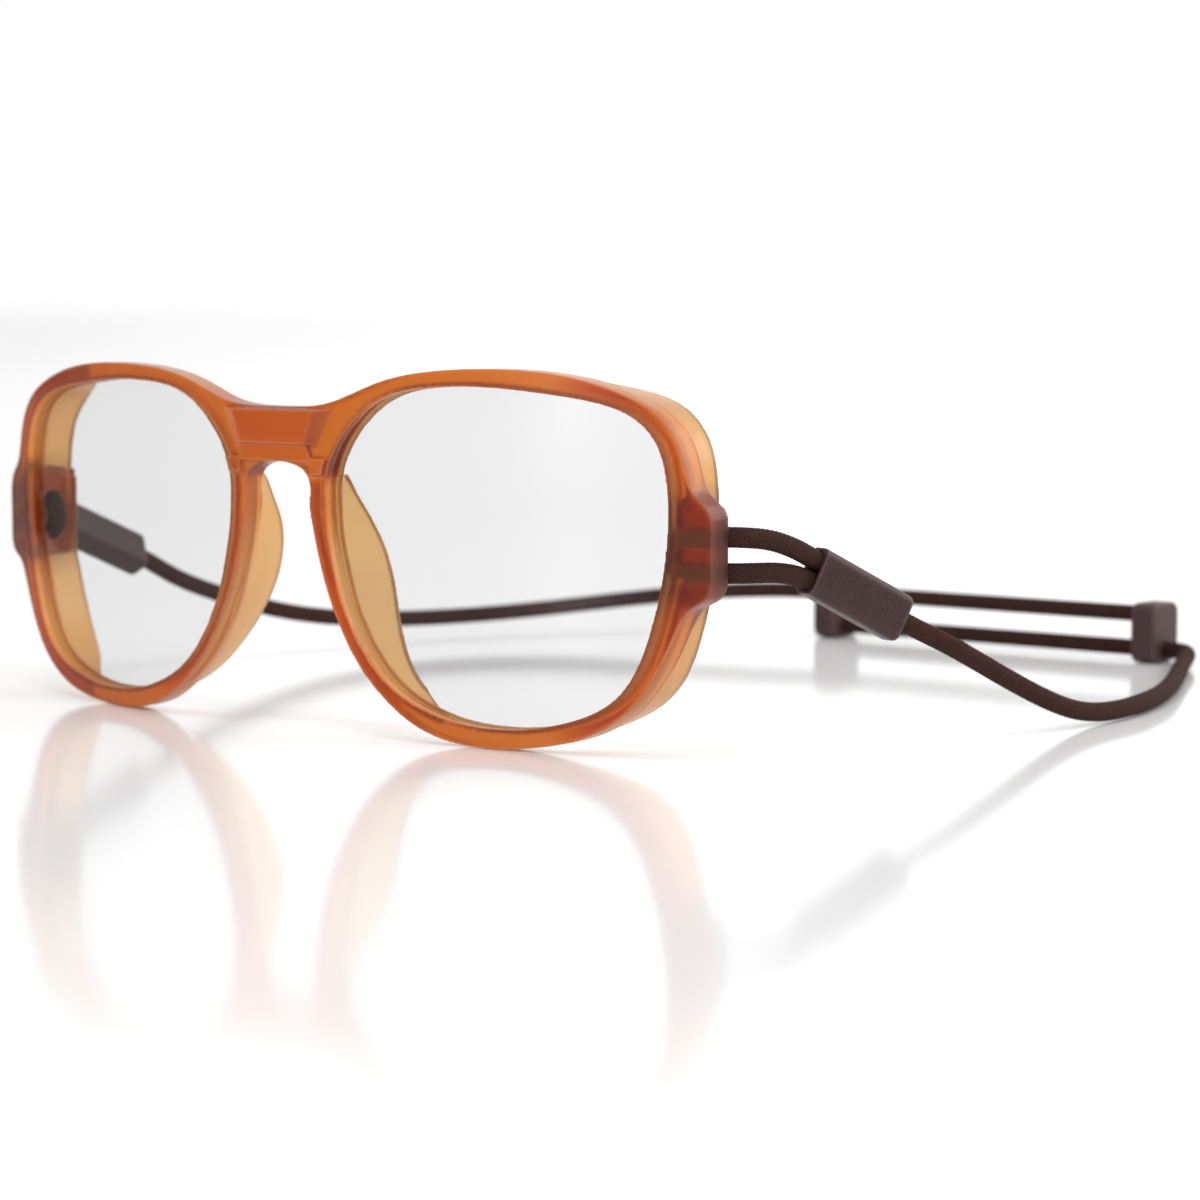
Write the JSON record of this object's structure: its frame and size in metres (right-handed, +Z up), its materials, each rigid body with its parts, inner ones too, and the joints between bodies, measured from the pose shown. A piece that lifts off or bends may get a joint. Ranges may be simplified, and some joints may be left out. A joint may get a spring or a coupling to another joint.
{
  "type": "glacier glasses",
  "caption": "Full-rim glacier glasses with side shields, whose temples are braided cords through leather-like sleeves joined behind the head by sliding blocks.",
  "frame": {"origin": "centre of the flat front panel on the bridge between the lenses", "axes": "+X to the wearer's left, +Y from the front to the back of the head, +Z up"},
  "size_m": [0.1634, 0.1587, 0.0514],
  "materials": {
    "frame": "satin translucent amber",
    "lens": "clear, faint grey",
    "cord": "round braid",
    "sleeve": "fine grain",
    "splice": "whipped thread",
    "slider": "fine satin",
    "ferrule": "dark anodised"
  },
  "bodies": {
    "front": {"frame_front": "frame", "lens_left": "lens", "lens_right": "lens", "cord_left_loop": "cord", "cord_right_loop": "cord"},
    "strap": {"sleeve_left": "sleeve", "sleeve_right": "sleeve", "cord_splice_left": "splice", "cord_splice_right": "splice", "cord_left_run": "cord", "cord_right_run": "cord", "cord_left_tail": "cord", "cord_right_tail": "cord"},
    "slider_left": {"slider_left": "slider", "cord_end_ferrule_right": "ferrule"},
    "slider_right": {"slider_right": "slider", "cord_end_ferrule_left": "ferrule"}
  },
  "joints": [
    {"name": "strap_swing", "type": "hinge", "parent": "front", "child": "strap", "pos_m": [0, 0.0163, -0.0159], "axis": [1, 0, 0], "range_deg": [-60, 75], "deforming": ["cord_left_loop", "cord_right_loop"]},
    {"name": "slider_left_slide", "type": "slide", "parent": "strap", "child": "slider_left", "axis": [-1, 0, 0], "range_m": [0, 0.027], "deforming": ["cord_right_tail"]},
    {"name": "slider_right_slide", "type": "slide", "parent": "strap", "child": "slider_right", "axis": [1, 0, 0], "range_m": [0, 0.027], "deforming": ["cord_left_tail"]}
  ]
}
